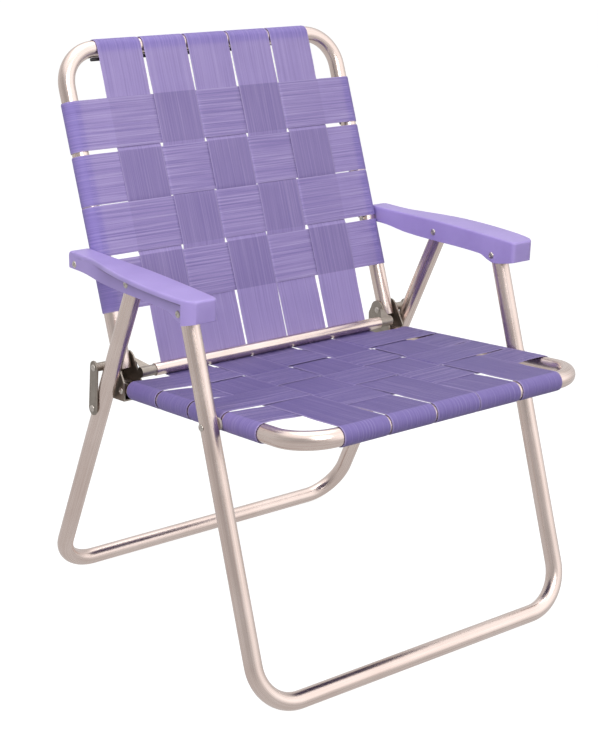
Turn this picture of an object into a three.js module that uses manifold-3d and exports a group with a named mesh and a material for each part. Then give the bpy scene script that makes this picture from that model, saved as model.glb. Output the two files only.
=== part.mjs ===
// Folding webbed lawn chair: bent aluminium tube, woven webbing, moulded armrests.
// Millimetres, +Z up. The sitter faces -Y. Origin on the floor, under the middle of the chair.
import * as THREE from 'three';
import { mergeVertices } from 'three/addons/utils/BufferGeometryUtils.js';
import Module from 'manifold-3d';

const wasm = await Module();
wasm.setup();

// Tubing
const tubeRadius = 12.7;
const tubeWall = 1.2;
const crossTubeRadius = 9.5;
const crossTubeWall = 1.1;
const legBendRadius = 64;
const frameBendRadius = 56;
const tubeSides = 16;
const boreSides = 12;
const bendSteps = 6;

// The side view's pivots: y backwards from the rear foot bar, z up from the floor.
// The crank runs from each lower pivot to the armrest's pivot above it.
const legPivot = { y: -449.5, z: 386 };
const backPivot = { y: -167.5, z: 395.5 };
const crank = { y: 47.5, z: 146 };
const linkDrop = 64.8;
const seatTilt = 5.65;
const backTilt = 19.85;

// Tube ends past their pivots
const backTubeBelowPivot = 10;
const frontLegPastPivot = 14;
const rearLegPastPivot = 9.08;
const rearLegEndRoom = 0.8;
const seatTubeEndRoom = 0.9;

// Webbing
const strapWidth = 76.2;
const strapThickness = 1.2;
const strapGap = 0.4;
const weaveRise = 0.8;
const columnCount = 5;
const columnSpacing = 2.4;
const seatRowCount = 4;
const seatRowSpacing = 4.5;
const seatCornerOpening = 23.9;
const seatHingeOpening = 50.5;
const backRowCount = 4;
const backRowSpacing = 3.8;
const backCornerOpening = 21.4;
const backHingeOpening = 74.4;
const bendToStrap = 0.2;
const hingeStrapUpper = 61;
const wrapFacets = 11;
const topRodRadius = 2.5;
const topRodPast = 10.7;
const topRodColumns = 4;

// Fasteners and the small room left between pieces
const rivetRadius = 3;
const rivetHeadRadius = 5.2;
const rivetHeadHeight = 2.4;
const rivetSides = 12;
const washerRadius = 9;
const washerThickness = 2.9;
const clearance = 0.3;
const overrun = 2;

// Armrest
const armAhead = 50.3;
const armBehind = 15.4;
const armDepth = 40;
const armWall = 2.3;
const armTopWall = 3;
const armOverhang = 20.8;
const armLip = 7.5;
const armBlockLength = 19;
const armCorner = 6;
const armBackGap = 0.45;
const armLegGap = 1.2;

// Armrest outlines: [share of its length from the front, share of its depth above the pivots' line]
const armTopShares = [
  [0, 0.69], [0.033, 0.722], [0.08, 0.733], [0.268, 0.724], [0.469, 0.675], [0.67, 0.586],
  [0.871, 0.49], [0.974, 0.44], [1, 0.39],
];
const armFootShares = [
  [1, -0.175], [0.869, -0.142], [0.725, -0.22], [0.216, -0.071], [0.159, -0.217], [0.127, -0.27],
  [0.053, -0.15], [0, -0.03],
];
// [share of its length from the front, share of the overhang beyond the outer wall]
const armPlanShares = [
  [0, 0.1], [0.012, 0.36], [0.035, 0.6], [0.07, 0.74], [0.13, 0.87], [0.22, 0.96], [0.32, 1],
  [0.469, 0.9], [0.612, 0.6], [0.727, 0.24], [0.828, 0],
];

// Bracket, spacers and links
const plate = 2.4;
const earRadius = 16;
const sleeveForward = 32;
const fixingForward = 20;
const wallBehindPivot = 19.2;
const stubLength = 22;
const stubInTube = 15;
const spacerRadius = 6.5;
const spacerToLegRoom = 3.34;
const linkThickness = 3;
const linkHalfWidth = 10.5;

const degree = Math.PI / 180;

function add(a, b, share = 1) {
  return { y: a.y + b.y * share, z: a.z + b.z * share };
}

function difference(a, b) {
  return { y: a.y - b.y, z: a.z - b.z };
}

function opposite(a) {
  return { y: -a.y, z: -a.z };
}

function dot(a, b) {
  return a.y * b.y + a.z * b.z;
}

function length(a) {
  return Math.hypot(a.y, a.z);
}

function unit(a) {
  return { y: a.y / length(a), z: a.z / length(a) };
}

// Where two lines of the side view cross
function meetingPoint(a, along, b, other) {
  const gap = difference(b, a);
  const share = (gap.y * other.z - gap.z * other.y) / (along.y * other.z - along.z * other.y);
  return add(a, along, share);
}

// The length that a run of straps covers, with the spaces between them
function runLength(count, spacing) {
  return count * strapWidth + (count - 1) * spacing;
}

// Webbing lies this far from the plane of the tubes' centre lines
const wrapInner = tubeRadius + strapGap;
const wrapOuter = wrapInner + strapThickness;
const webHeight = (wrapInner + wrapOuter) / 2;

// Half widths, from the middle of the chair to a tube's centre line
const frameHalfWidth = runLength(columnCount, columnSpacing) / 2 + bendToStrap + frameBendRadius;
const legHalfWidth = frameHalfWidth + wrapOuter + clearance + washerThickness + clearance + tubeRadius;

// Seat plane: forward along the side tubes, and the normal on the sitter's side
const seatForward = { y: -Math.cos(seatTilt * degree), z: Math.sin(seatTilt * degree) };
const seatNormal = { y: Math.sin(seatTilt * degree), z: Math.cos(seatTilt * degree) };
const seatHingeToFrontBar = seatHingeOpening + runLength(seatRowCount, seatRowSpacing)
  + seatCornerOpening + frameBendRadius;
const seatHinge = add(legPivot, seatForward, dot(difference(backPivot, legPivot), seatForward));
const seatFrontBar = add(seatHinge, seatForward, seatHingeToFrontBar);
const seatRearEnd = {
  y: backPivot.y + wallBehindPivot - seatTubeEndRoom - tubeRadius * seatNormal.y,
};
const seatSideLength = (seatRearEnd.y - seatFrontBar.y) / -seatForward.y;

// Back plane: up along the side tubes, and the normal on the sitter's side.
// The two rivets in each back tube lie equally far either side of its centre line.
const backUp = { y: Math.sin(backTilt * degree), z: Math.cos(backTilt * degree) };
const backNormal = { y: -Math.cos(backTilt * degree), z: Math.sin(backTilt * degree) };
const backAxisFoot = add(backPivot, backNormal, dot(crank, backNormal) / 2);
const backPivotToTopBar = backHingeOpening + runLength(backRowCount, backRowSpacing)
  + backCornerOpening + frameBendRadius;
const backTopBar = add(backAxisFoot, backUp, backPivotToTopBar);

// The cross tube sits in the crook where both planes of webbing just touch it
const crossReach = webHeight + strapThickness / 2 + strapGap + crossTubeRadius;
const crossTube = meetingPoint(
  add(backAxisFoot, backNormal, crossReach),
  backUp,
  add(legPivot, seatNormal, crossReach),
  seatForward,
);

// The armrest's line runs back from its front pivot to its rear pivot
const armFrontPivot = add(legPivot, crank);
const armRearPivot = add(backPivot, crank);
const armSpan = length(difference(armRearPivot, armFrontPivot));
const armBack = unit(difference(armRearPivot, armFrontPivot));
const armUp = { y: -armBack.z, z: armBack.y };
const armLength = armAhead + armSpan + armBehind;
const armInnerFace = frameHalfWidth + wrapOuter + armBackGap;
const armOuterFace = legHalfWidth + tubeRadius + armLegGap + armWall;

function armPlace(along, rise) {
  return add(add(armFrontPivot, armBack, along), armUp, rise);
}

function armLinePlace([alongShare, riseShare], drop = 0) {
  return armPlace(armLength * alongShare - armAhead, armDepth * riseShare - drop);
}

// The top line's height above the pivots' line, some way back from the front pivot
function armTopRise(along) {
  const alongShare = (along + armAhead) / armLength;
  const after = armTopShares.findIndex(([share]) => share > alongShare);
  const [fromShare, fromRise] = armTopShares[after - 1];
  const [toShare, toRise] = armTopShares[after];
  return armDepth * THREE.MathUtils.mapLinear(alongShare, fromShare, toShare, fromRise, toRise);
}

// Legs. The rear leg passes just in front of the spacer on the back pivot.
const frontLegUp = unit(crank);
const frontFoot = add(legPivot, frontLegUp, (tubeRadius - legPivot.z) / frontLegUp.z);
const rearFoot = { y: 0, z: tubeRadius };
const footToBackPivot = difference(backPivot, rearFoot);
const rearLegLean = Math.asin((tubeRadius + spacerRadius + spacerToLegRoom) / length(footToBackPivot));
const rearLegHeading = Math.atan2(footToBackPivot.z, footToBackPivot.y) + rearLegLean;
const rearLegUp = { y: Math.cos(rearLegHeading), z: Math.sin(rearLegHeading) };

// Its armrest pivot lies low enough for the tube's end to swing under the armrest's top
function findRearLegPivot() {
  const swing = Math.hypot(rearLegPastPivot, tubeRadius);
  const rounds = 8;
  let pivot = meetingPoint(rearFoot, rearLegUp, armFrontPivot, armBack);
  for (let i = 0; i < rounds; i += 1) {
    const along = dot(difference(pivot, armFrontPivot), armBack);
    const rise = armTopRise(along) - armTopWall - rearLegEndRoom - swing;
    pivot = meetingPoint(rearFoot, rearLegUp, armPlace(0, rise), armBack);
  }
  return pivot;
}

const rearLegPivot = findRearLegPivot();
const linkPin = add(rearFoot, rearLegUp, (backPivot.z - linkDrop - rearFoot.z) / rearLegUp.z);

// The chair's reach fore and aft sets the shift that centres it on the origin
const centreShift = -(seatFrontBar.y - wrapOuter + rearFoot.y + tubeRadius) / 2;

// Materials
const aluminium = { color: 0xcfc8c2, roughness: 0.35, metalness: 0.9 };
const zincSteel = { color: 0x8f8a84, roughness: 0.5, metalness: 0.6 };
const rivetMetal = { color: 0xc9c6c2, roughness: 0.3, metalness: 0.9 };
const lilacPlastic = { color: 0xac97d6, roughness: 0.45, metalness: 0 };
const greyNylon = { color: 0x6f6a68, roughness: 0.6, metalness: 0 };
const webbing = { color: 0x8473b0, roughness: 0.8, metalness: 0 };

const chair = new THREE.Group();
chair.position.y = centreShift;

function place(name, geometry, look) {
  const mesh = new THREE.Mesh(geometry, new THREE.MeshStandardMaterial(look));
  mesh.name = name;
  chair.add(mesh);
}

function placePair(name, rightGeometry, look) {
  place(`${name}_right`, rightGeometry, look);
  place(`${name}_left`, mirrored(rightGeometry), look);
}

// Solid helpers
function signedVolume(geometry) {
  const corners = geometry.attributes.position;
  const order = geometry.index.array;
  const [a, b, c] = [new THREE.Vector3(), new THREE.Vector3(), new THREE.Vector3()];
  let volume = 0;
  for (let i = 0; i < order.length; i += 3) {
    a.fromBufferAttribute(corners, order[i]);
    b.fromBufferAttribute(corners, order[i + 1]);
    c.fromBufferAttribute(corners, order[i + 2]);
    volume += a.dot(b.cross(c));
  }
  return volume;
}

// A closed mesh with shared corners and its faces pointing out
function closed(source) {
  source.deleteAttribute('normal');
  source.deleteAttribute('uv');
  const geometry = mergeVertices(source);
  if (signedVolume(geometry) < 0) {
    geometry.index.array.reverse();
  }
  return geometry;
}

function toSolid(geometry) {
  return new wasm.Manifold(new wasm.Mesh({
    numProp: 3,
    vertProperties: new Float32Array(geometry.attributes.position.array),
    triVerts: new Uint32Array(geometry.index.array),
  }));
}

function toGeometry(solid) {
  const mesh = solid.getMesh();
  const geometry = new THREE.BufferGeometry();
  geometry.setAttribute('position', new THREE.BufferAttribute(mesh.vertProperties, 3));
  geometry.setIndex(new THREE.BufferAttribute(mesh.triVerts, 1));
  return geometry;
}

function cut(geometry, ...tools) {
  let solid = toSolid(geometry);
  for (const tool of tools) {
    solid = solid.subtract(toSolid(tool));
  }
  return toGeometry(solid);
}

function join(...pieces) {
  let solid = toSolid(pieces[0]);
  for (const piece of pieces.slice(1)) {
    solid = solid.add(toSolid(piece));
  }
  return toGeometry(solid);
}

function overlap(a, b) {
  return toGeometry(toSolid(a).intersect(toSolid(b)));
}

function mirrored(source) {
  const geometry = source.clone();
  geometry.scale(-1, 1, 1);
  geometry.index.array.reverse();
  return geometry;
}

// A side-view outline of { y, z } points, made solid between two x values
function sideSlab(points, fromX, toX) {
  const outline = new THREE.Shape(points.map(({ y, z }) => new THREE.Vector2(y, z)));
  const geometry = new THREE.ExtrudeGeometry(outline, { depth: toX - fromX, bevelEnabled: false });
  geometry.applyMatrix4(new THREE.Matrix4().set(0, 0, 1, fromX, 1, 0, 0, 0, 0, 1, 0, 0, 0, 0, 0, 1));
  return closed(geometry);
}

// A round bar along X between two x values
function crossRod(centre, radius, fromX, toX, sides) {
  const geometry = new THREE.CylinderGeometry(radius, radius, toX - fromX, sides);
  geometry.rotateZ(Math.PI / 2);
  geometry.translate((fromX + toX) / 2, centre.y, centre.z);
  return closed(geometry);
}

// A rivet hole between two x values, run through both faces
function drill(centre, fromX, toX) {
  return crossRod(centre, rivetRadius + clearance, fromX - overrun, toX + overrun, rivetSides);
}

function drillBothTubes(centre, halfWidth) {
  return [-halfWidth, halfWidth].map((x) => drill(centre, x - tubeRadius, x + tubeRadius));
}

function arcPoints(centre, radius, fromTurn, toTurn, count) {
  const points = [];
  for (let i = 0; i <= count; i += 1) {
    const turn = (fromTurn + (toTurn - fromTurn) * (i / count)) * degree;
    points.push({ y: centre.y + radius * Math.cos(turn), z: centre.z + radius * Math.sin(turn) });
  }
  return points;
}

// Tubes bent in one plane
class StationPath extends THREE.Curve {
  constructor(stations) {
    super();
    this.stations = stations;
  }

  getPointAt(share, target = new THREE.Vector3()) {
    const index = Math.round(share * (this.stations.length - 1));
    return target.copy(this.stations[index].point);
  }

  getTangentAt(share, target = new THREE.Vector3()) {
    const index = Math.round(share * (this.stations.length - 1));
    return target.copy(this.stations[index].tangent);
  }
}

function ring(radius, sides) {
  const points = [];
  for (let i = 0; i < sides; i += 1) {
    const turn = (i / sides) * Math.PI * 2;
    points.push(new THREE.Vector2(radius * Math.cos(turn), radius * Math.sin(turn)));
  }
  return points;
}

function tubeAlong(stations, radius, wall) {
  const section = new THREE.Shape(ring(radius, tubeSides));
  section.holes.push(new THREE.Path(ring(radius - wall, boreSides)));
  const path = new StationPath(stations);
  const geometry = new THREE.ExtrudeGeometry(section, {
    steps: stations.length - 1, extrudePath: path, bevelEnabled: false,
  });
  return closed(geometry);
}

// A U of tube: a cross bar with two arms that run the same way, bar and arms in one plane
function uStations(halfWidth, bendRadius, bar, armWay, sideLength) {
  const arm = new THREE.Vector3(0, armWay.y, armWay.z);
  const across = new THREE.Vector3(1, 0, 0);
  const middle = new THREE.Vector3(0, bar.y, bar.z);
  const stations = [];
  for (const side of [-1, 1]) {
    const end = middle.clone().addScaledVector(across, side * halfWidth).addScaledVector(arm, sideLength);
    const bendCentre = middle.clone()
      .addScaledVector(across, side * (halfWidth - bendRadius))
      .addScaledVector(arm, bendRadius);
    const bend = [];
    for (let i = 0; i <= bendSteps; i += 1) {
      const turn = (i / bendSteps) * 90 * degree;
      bend.push({
        point: bendCentre.clone()
          .addScaledVector(across, side * bendRadius * Math.cos(turn))
          .addScaledVector(arm, -bendRadius * Math.sin(turn)),
        tangent: across.clone().multiplyScalar(Math.sin(turn))
          .addScaledVector(arm, side * Math.cos(turn)),
      });
    }
    const endStation = { point: end, tangent: arm.clone().multiplyScalar(side) };
    if (side < 0) {
      stations.push(endStation, ...bend);
    } else {
      stations.push(...bend.reverse(), endStation);
    }
  }
  return stations;
}

function uTube(halfWidth, bendRadius, bar, armWay, sideLength) {
  return tubeAlong(uStations(halfWidth, bendRadius, bar, armWay, sideLength), tubeRadius, tubeWall);
}

// Front leg loop: one bent tube, floor bar to armrests
const frontLegSide = length(difference(armFrontPivot, frontFoot)) + frontLegPastPivot;
place('front_leg_loop', cut(
  uTube(legHalfWidth, legBendRadius, frontFoot, frontLegUp, frontLegSide),
  ...drillBothTubes(legPivot, legHalfWidth),
  ...drillBothTubes(armFrontPivot, legHalfWidth),
), aluminium);

// Rear leg loop
const rearLegSide = length(difference(rearLegPivot, rearFoot)) + rearLegPastPivot;
place('rear_leg_loop', cut(
  uTube(legHalfWidth, legBendRadius, rearFoot, rearLegUp, rearLegSide),
  ...drillBothTubes(rearLegPivot, legHalfWidth),
), aluminium);

// Seat frame: one bent tube, fixed in each bracket by one rivet in front of the back pivot
const fixingPoint = add(seatHinge, seatForward, fixingForward);
place('seat_frame_tube', cut(
  uTube(frameHalfWidth, frameBendRadius, seatFrontBar, opposite(seatForward), seatSideLength),
  ...drillBothTubes(legPivot, frameHalfWidth),
  ...drillBothTubes(fixingPoint, frameHalfWidth),
), aluminium);

// Back frame: one bent tube, open end down
const backSideLength = backPivotToTopBar + backTubeBelowPivot;
place('back_frame_tube', cut(
  uTube(frameHalfWidth, frameBendRadius, backTopBar, opposite(backUp), backSideLength),
  ...drillBothTubes(backPivot, frameHalfWidth),
  ...drillBothTubes(armRearPivot, frameHalfWidth),
), aluminium);

// Brackets: two ears either side of the tubes, joined behind and below, with a stub for the cross tube
const earReach = tubeRadius + strapGap;
const earInner = frameHalfWidth - earReach;
const earOuter = frameHalfWidth + earReach;
const stubRadius = crossTubeRadius - crossTubeWall - clearance;
const crossTubeEnd = earInner - plate - stubLength;
const bracketFront = backPivot.y - sleeveForward;
const wallTop = backPivot.z - earRadius / 2;

function seatHeightAt(y) {
  return legPivot.z + (y - legPivot.y) * (seatForward.z / seatForward.y);
}

function belowSeat(y, drop) {
  return { y, z: seatHeightAt(y) - drop };
}

function bracketOutline() {
  const rear = backPivot.y + wallBehindPivot + plate;
  const below = earReach + plate;
  const earSteps = 7;
  const rearTurn = 10;
  const frontTurn = 160;
  return [
    belowSeat(bracketFront, below),
    belowSeat(rear, below),
    { y: rear, z: wallTop },
    ...arcPoints(backPivot, earRadius, rearTurn, frontTurn, earSteps),
    belowSeat(bracketFront, -tubeRadius),
  ];
}

// The room between the ears, open at the front and above
function bracketRoom() {
  const wall = backPivot.y + wallBehindPivot;
  const front = bracketFront - overrun;
  const rear = wall + plate + overrun;
  const high = backPivot.z + earRadius + overrun;
  return [
    belowSeat(front, earReach),
    belowSeat(wall, earReach),
    { y: wall, z: wallTop },
    { y: rear, z: wallTop },
    { y: rear, z: high },
    { y: front, z: high },
  ];
}

// A triangular rib from the ear's top down to the stub
function gusset() {
  const top = add(backPivot, { y: -earRadius / 2, z: earRadius / 2 });
  const foot = add(crossTube, { y: 0, z: stubRadius - plate });
  const nearX = earInner - plate / 2;
  const farX = crossTubeEnd + stubLength / 4;
  const skew = plate / 2;
  const corners = [-skew, skew].flatMap((step) => [
    [nearX, top.y + step, top.z + step],
    [nearX, foot.y + step, foot.z + step],
    [farX, foot.y + step, foot.z + step],
  ]);
  const geometry = new THREE.BufferGeometry();
  geometry.setAttribute('position', new THREE.Float32BufferAttribute(corners.flat(), 3));
  geometry.setIndex([0, 1, 2, 3, 5, 4, 0, 3, 4, 0, 4, 1, 1, 4, 5, 1, 5, 2, 2, 5, 3, 2, 3, 0]);
  return closed(geometry);
}

function bracket() {
  const room = sideSlab(bracketRoom(), earInner, earOuter);
  const body = cut(sideSlab(bracketOutline(), earInner - plate, earOuter + plate), room);
  const stub = crossRod(crossTube, stubRadius, crossTubeEnd - stubInTube, earInner, tubeSides);
  return cut(
    join(body, cut(join(stub, gusset()), room)),
    drill(backPivot, earInner - plate, earOuter + plate),
    drill(fixingPoint, earInner - plate, earOuter + plate),
  );
}

placePair('bracket', bracket(), zincSteel);

// Cross tube, pushed onto the two brackets' stubs
function crossTubeSolid() {
  const stations = [-crossTubeEnd, crossTubeEnd].map((x) => ({
    point: new THREE.Vector3(x, crossTube.y, crossTube.z),
    tangent: new THREE.Vector3(1, 0, 0),
  }));
  return tubeAlong(stations, crossTubeRadius, crossTubeWall);
}

place('cross_tube', crossTubeSolid(), aluminium);

// Rivets lie along X, with a domed head at each end
function rivet(centre, innerX, outerX) {
  const crownShare = 0.6;
  const profile = [
    [0, innerX - rivetHeadHeight],
    [rivetHeadRadius * crownShare, innerX - rivetHeadHeight],
    [rivetHeadRadius, innerX - clearance],
    [rivetRadius, innerX - clearance],
    [rivetRadius, outerX + clearance],
    [rivetHeadRadius, outerX + clearance],
    [rivetHeadRadius * crownShare, outerX + rivetHeadHeight],
    [0, outerX + rivetHeadHeight],
  ];
  const geometry = new THREE.LatheGeometry(
    profile.map(([radius, x]) => new THREE.Vector2(radius, x)),
    rivetSides,
  );
  geometry.rotateZ(-Math.PI / 2);
  geometry.translate(0, centre.y, centre.z);
  return closed(geometry);
}

function rivetedRod(centre, radius, fromX, toX, sides) {
  return cut(crossRod(centre, radius, fromX, toX, sides), drill(centre, fromX, toX));
}

// Seat-to-leg pivots: a rivet through both tubes, with a washer between them
const washerInner = frameHalfWidth + wrapOuter + clearance;
const washerOuter = washerInner + washerThickness;
placePair(
  'leg_pivot_washer',
  rivetedRod(legPivot, washerRadius, washerInner, washerOuter, tubeSides),
  greyNylon,
);
placePair(
  'leg_pivot_rivet',
  rivet(legPivot, frameHalfWidth - tubeRadius, legHalfWidth + tubeRadius),
  rivetMetal,
);

// Back pivots: a rivet through bracket, back tube, spacer and link
const spacerInner = earOuter + plate + clearance;
const spacerOuter = legHalfWidth + tubeRadius + clearance * 2;
const linkInner = spacerOuter + clearance;
const linkOuter = linkInner + linkThickness;
placePair(
  'pivot_spacer',
  rivetedRod(backPivot, spacerRadius, spacerInner, spacerOuter, rivetSides),
  zincSteel,
);
placePair('back_pivot_rivet', rivet(backPivot, earInner - plate, linkOuter), rivetMetal);
placePair('bracket_rivet', rivet(fixingPoint, earInner - plate, earOuter + plate), rivetMetal);

// Links: flat bars with round ends, from the back pivot to the rear leg's outer face
function linkBar() {
  const along = unit(difference(linkPin, backPivot));
  const heading = Math.atan2(along.z, along.y) / degree;
  const endSteps = 8;
  const outline = [
    ...arcPoints(backPivot, linkHalfWidth, heading + 90, heading + 270, endSteps),
    ...arcPoints(linkPin, linkHalfWidth, heading - 90, heading + 90, endSteps),
  ];
  return cut(
    sideSlab(outline, linkInner, linkOuter),
    drill(backPivot, linkInner, linkOuter),
    drill(linkPin, linkInner, linkOuter),
  );
}

placePair('link', linkBar(), zincSteel);

// The link's lower rivet: its shank stops at the leg's outer face
function linkRivet() {
  const whole = rivet(linkPin, linkInner - linkThickness, linkOuter);
  const outerPart = crossRod(
    linkPin, rivetHeadRadius + clearance, spacerOuter, linkOuter + rivetHeadHeight + overrun, rivetSides,
  );
  return overlap(whole, outerPart);
}

placePair('link_rivet', linkRivet(), rivetMetal);

// Armrests: a channel over both legs, with a lip that widens the top and a full block in front
function armTopPlaces(drop = 0) {
  return armTopShares.map((shares) => armLinePlace(shares, drop));
}

function armSideSlab(lowerPlaces, toX) {
  return sideSlab([...armTopPlaces(), ...lowerPlaces], armInnerFace, toX);
}

// The plan outline of the top, as a block taller than the armrest
function armPlanBlock() {
  const front = armPlace(-armAhead, 0).y;
  const rear = armPlace(armLength - armAhead, armDepth).y;
  const rearmost = Math.max(rear, armPlace(armLength - armAhead, -armDepth).y) + overrun;
  const cornerSteps = 4;
  const corner = arcPoints(
    { y: armInnerFace + armCorner, z: front + armCorner }, armCorner, 180, 270, cornerSteps,
  );
  const outline = new THREE.Shape([
    ...corner.map(({ y, z }) => new THREE.Vector2(y, z)),
    ...armPlanShares.map(([alongShare, outShare]) => new THREE.Vector2(
      armOuterFace + armOverhang * outShare,
      front + armLength * alongShare,
    )),
    new THREE.Vector2(armOuterFace, rearmost),
    new THREE.Vector2(armInnerFace, rearmost),
  ]);
  const depth = armDepth * 4;
  const geometry = new THREE.ExtrudeGeometry(outline, { depth, bevelEnabled: false });
  geometry.translate(0, 0, armFrontPivot.z - depth / 2);
  return closed(geometry);
}

// The room inside the channel, open below
function armRoom() {
  const front = armWall - armAhead;
  const rear = armLength - armAhead - armWall;
  const wallShare = armWall / armLength;
  const roof = armTopShares
    .filter(([alongShare]) => alongShare > wallShare && alongShare < 1 - wallShare)
    .map((shares) => armLinePlace(shares, armTopWall));
  return sideSlab([
    armPlace(front, armTopRise(front) - armTopWall),
    ...roof,
    armPlace(rear, armTopRise(rear) - armTopWall),
    armPlace(rear, -armDepth),
    armPlace(front, -armDepth),
  ], armInnerFace + armWall, armOuterFace - armWall);
}

function armrest() {
  const widest = armOuterFace + armOverhang + overrun;
  const foot = armFootShares.map((shares) => armLinePlace(shares));
  const walls = armSideSlab(foot, armOuterFace);
  const lip = armSideSlab(armTopPlaces(armLip).reverse(), widest);
  const blockRear = armBlockLength - armAhead;
  const blockCover = sideSlab([
    armPlace(-armLength, -armDepth),
    armPlace(blockRear, -armDepth),
    armPlace(blockRear, armDepth),
    armPlace(-armLength, armDepth),
  ], armInnerFace, widest);
  const block = overlap(armSideSlab(foot, widest), blockCover);
  return cut(
    overlap(join(walls, lip, block), armPlanBlock()),
    armRoom(),
    drill(armRearPivot, armInnerFace, armOuterFace),
    drill(rearLegPivot, armInnerFace, armOuterFace),
    drill(armFrontPivot, armInnerFace, armOuterFace),
  );
}

placePair('armrest', armrest(), lilacPlastic);
placePair('armrest_rear_rivet', rivet(armRearPivot, frameHalfWidth - tubeRadius, armOuterFace), rivetMetal);
placePair('armrest_middle_rivet', rivet(rearLegPivot, armInnerFace, armOuterFace), rivetMetal);
placePair('armrest_front_rivet', rivet(armFrontPivot, armInnerFace, armOuterFace), rivetMetal);

// Webbing. A strap's centre line is drawn flat as [along, height] points, then thickened.
// Wraps turn round a tube in facets that line up with the tube's own.
function wrapPoints(centreAlong, side, radius) {
  const points = [];
  for (let i = 0; i <= wrapFacets; i += 1) {
    const turn = (i / tubeSides) * Math.PI * 2;
    points.push([centreAlong + side * radius * Math.sin(turn), radius * Math.cos(turn)]);
  }
  return points;
}

// Heights of one strap where it passes over and under the straps across it
function weavePoints(crossings, isOver) {
  return crossings.flatMap(([from, to], i) => {
    const height = webHeight + (isOver(i) ? weaveRise : -weaveRise);
    return [[from, height], [to, height]];
  });
}

function raised(points, rise) {
  return points.map(([along, height]) => [along, height + rise]);
}

function spans(count, spacing, first) {
  const list = [];
  for (let i = 0; i < count; i += 1) {
    const from = first + i * (strapWidth + spacing);
    list.push([from, from + strapWidth]);
  }
  return list;
}

const columnSpans = spans(columnCount, columnSpacing, -runLength(columnCount, columnSpacing) / 2);

// The two faces of a strap: [turn radius at a wrap, rise from the centre line]
const strapFaces = [[wrapOuter, strapThickness / 2], [wrapInner, -strapThickness / 2]];

function strapOutline(facePoints) {
  const [upper, lower] = strapFaces.map(([radius, rise]) => facePoints(radius, rise));
  return [...upper, ...lower.reverse()];
}

// A strap across the seat or the back, wrapped round both side tubes
function crossStrapOutline(isOver) {
  const weave = weavePoints(columnSpans, isOver);
  return strapOutline((radius, rise) => [
    ...wrapPoints(-frameHalfWidth, -1, radius).reverse(),
    ...raised(weave, rise),
    ...wrapPoints(frameHalfWidth, 1, radius),
  ]);
}

// A strap along the seat or the back: wrapped round the bar at its far end.
// Along is measured from the bar towards the hinge.
function longStrapOutline(rowSpans, lastAlong, isOver) {
  const weave = weavePoints(rowSpans, isOver);
  return strapOutline((radius, rise) => [
    ...wrapPoints(0, -1, radius).reverse(),
    ...raised(weave, rise),
    [lastAlong, webHeight + rise],
  ]);
}

// Extrudes an outline to the strap's width and stands it in its plane
function strapSolid(outlinePoints, along, up, across, origin) {
  const outline = new THREE.Shape(outlinePoints.map(([a, h]) => new THREE.Vector2(a, h)));
  const geometry = new THREE.ExtrudeGeometry(outline, { depth: strapWidth, bevelEnabled: false });
  geometry.translate(0, 0, -strapWidth / 2);
  const basis = new THREE.Matrix4().makeBasis(along, up, across);
  basis.setPosition(origin);
  geometry.applyMatrix4(basis);
  return closed(geometry);
}

function vector(direction, x = 0) {
  return new THREE.Vector3(x, direction.y, direction.z);
}

// Each webbed panel: its bar, the way from the bar to the hinge, its normal, its rows, and
// whether the cross strap nearest the bar passes over the left strap
const seatPanel = {
  name: 'seat',
  bar: seatFrontBar,
  inward: opposite(seatForward),
  normal: seatNormal,
  rows: spans(seatRowCount, seatRowSpacing, frameBendRadius + seatCornerOpening),
  rivetPoint: legPivot,
  cornerCrossOver: false,
};
const backPanel = {
  name: 'back',
  bar: backTopBar,
  inward: opposite(backUp),
  normal: backNormal,
  rows: spans(backRowCount, backRowSpacing, frameBendRadius + backCornerOpening),
  rivetPoint: armRearPivot,
  cornerCrossOver: true,
};
// Each panel's long straps stop here: the seat's under the cross tube, the back's above it
seatPanel.last = dot(difference(crossTube, seatPanel.bar), seatPanel.inward) - clearance;
backPanel.last = dot(difference(crossTube, backPanel.bar), backPanel.inward) - hingeStrapUpper;

function webPanel(panel) {
  const acrossX = new THREE.Vector3(1, 0, 0);
  const along = vector(panel.inward);
  const up = vector(panel.normal);
  const crossIsOver = (row, column) => ((row + column) % 2 === 0) === panel.cornerCrossOver;
  panel.rows.forEach(([from, to], row) => {
    const middle = vector(panel.bar).addScaledVector(along, (from + to) / 2);
    const across = new THREE.Vector3().crossVectors(acrossX, up);
    const outline = crossStrapOutline((column) => crossIsOver(row, column));
    const solid = strapSolid(outline, acrossX, up, across, middle);
    const notch = drill(panel.rivetPoint, -legHalfWidth, legHalfWidth);
    place(`${panel.name}_cross_strap_${row + 1}`, cut(solid, notch), webbing);
  });
  columnSpans.forEach(([from, to], column) => {
    const origin = vector(panel.bar, (from + to) / 2);
    const across = new THREE.Vector3().crossVectors(along, up);
    const outline = longStrapOutline(panel.rows, panel.last, (row) => !crossIsOver(row, column));
    const solid = strapSolid(outline, along, up, across, origin);
    place(`${panel.name}_long_strap_${column + 1}`, solid, webbing);
  });
}

webPanel(seatPanel);
webPanel(backPanel);

// A thin rod inside the back's long straps, just under the top bar, low enough to clear the bend
function topRod() {
  const from = columnSpans[0][0] - topRodPast;
  const to = columnSpans[topRodColumns - 1][1] - topRodPast;
  const sagitta = (reach) => frameBendRadius - Math.sqrt(frameBendRadius ** 2 - reach ** 2);
  const pastBend = frameBendRadius - frameHalfWidth - from;
  const halfFacet = frameBendRadius * Math.sin((Math.PI / 4) / bendSteps);
  const drop = clearance + sagitta(pastBend) + sagitta(halfFacet);
  const centre = add(backPanel.bar, backPanel.inward, tubeRadius + drop + topRodRadius);
  return crossRod(centre, topRodRadius, from, to, rivetSides);
}

place('top_rod', topRod(), greyNylon);

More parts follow.
